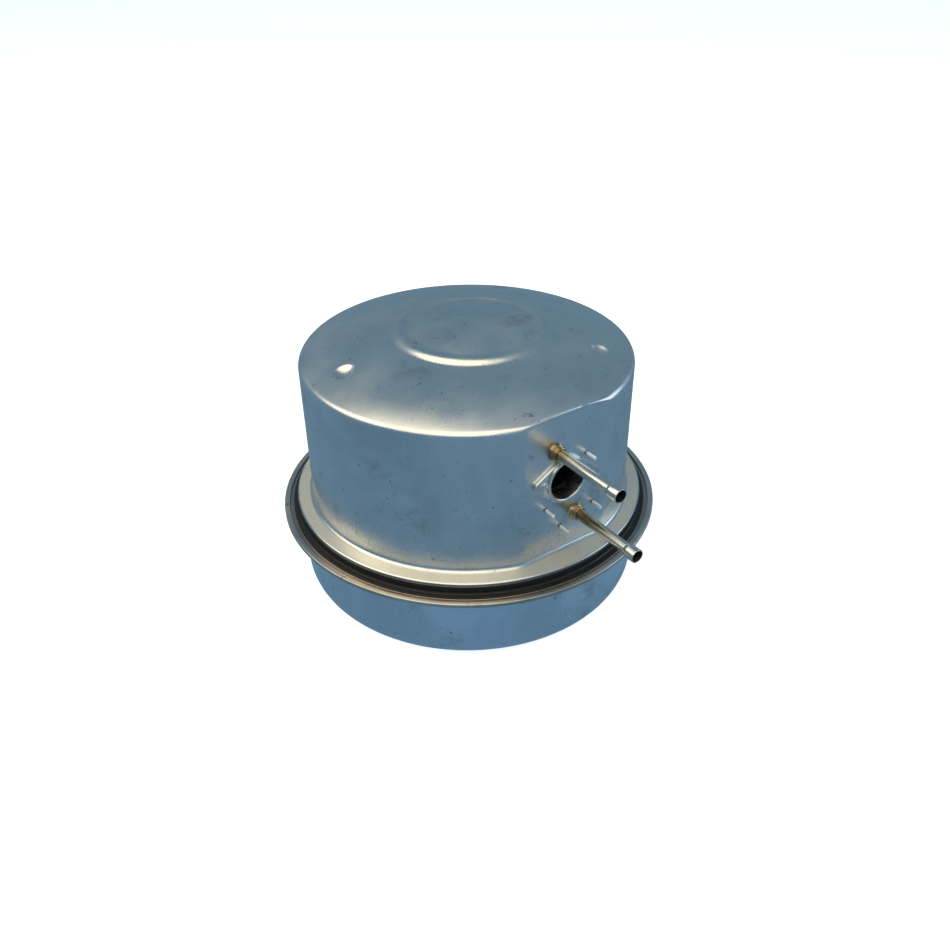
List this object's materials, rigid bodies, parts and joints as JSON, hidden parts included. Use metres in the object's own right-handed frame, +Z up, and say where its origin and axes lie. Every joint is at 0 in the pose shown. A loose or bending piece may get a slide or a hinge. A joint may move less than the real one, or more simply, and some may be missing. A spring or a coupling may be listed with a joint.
{
  "type": "air filter housing",
  "caption": "Round two-piece drawn steel canister with a flanged outlet port, hose tubes and weld pins on a wall flat, clamped over a pleated filter element by a centre bolt.",
  "frame": {"origin": "centre of the lower bowl's underside, on the canister's axis", "axes": "+Z up the canister's axis; the outlet port, hose tubes and weld pins face -Y; the inlet faces +Y"},
  "size_m": [0.2384, 0.2664, 0.1711],
  "materials": {
    "drawn_steel": "satin",
    "bowl_steel": "satin",
    "band_steel": "satin, heat tinted",
    "black_rubber": "matt",
    "port_steel": "satin",
    "tube_steel": "polished, straw tint",
    "tinted_steel": "heat tinted",
    "pin_steel": "bright",
    "copper_flash": "copper coloured",
    "filter_paper": "matt paper",
    "element_plastic": "matt",
    "zinc": "zinc plated"
  },
  "bodies": {
    "lower_half": {"lower_bowl": "bowl_steel", "rim_band": "band_steel"},
    "upper_half": {"upper_housing": "drawn_steel", "outlet_flange": "port_steel", "outlet_neck": "port_steel", "flange_tacks": "port_steel", "upper_hose_tube": "tube_steel", "lower_hose_tube": "tube_steel", "upper_tube_collar": "tinted_steel", "lower_tube_collar": "tinted_steel", "upper_tube_braze": "tinted_steel", "lower_tube_braze": "tinted_steel", "bracket_studs": "pin_steel", "stud_weld_rings": "copper_flash", "inner_bracket": "zinc", "bracket_spot_welds": "zinc", "weld_nut": "zinc"},
    "filter_element": {"rim_gasket": "black_rubber", "element_ring": "element_plastic", "element_media": "filter_paper", "element_upper_screen": "element_plastic", "element_lower_screen": "element_plastic", "element_sleeve": "element_plastic"},
    "bolt": {"centre_bolt": "zinc", "bolt_washer": "zinc", "sealing_washer": "black_rubber", "bolt_clip": "zinc"}
  },
  "joints": [
    {"name": "housing_lift", "type": "slide", "parent": "lower_half", "child": "upper_half", "axis": [0, 0, 1], "range_m": [0, 0.16]},
    {"name": "element_lift", "type": "slide", "parent": "lower_half", "child": "filter_element", "axis": [0, 0, 1], "range_m": [0, 0.08]},
    {"name": "bolt_turn", "type": "hinge", "parent": "lower_half", "child": "bolt", "pos_m": [0, 0, 0.005], "axis": [0, 0, 1], "continuous": true}
  ],
  "couplings": [
    {"joint": "element_lift", "follows": "housing_lift", "ratio": 0.45}
  ]
}
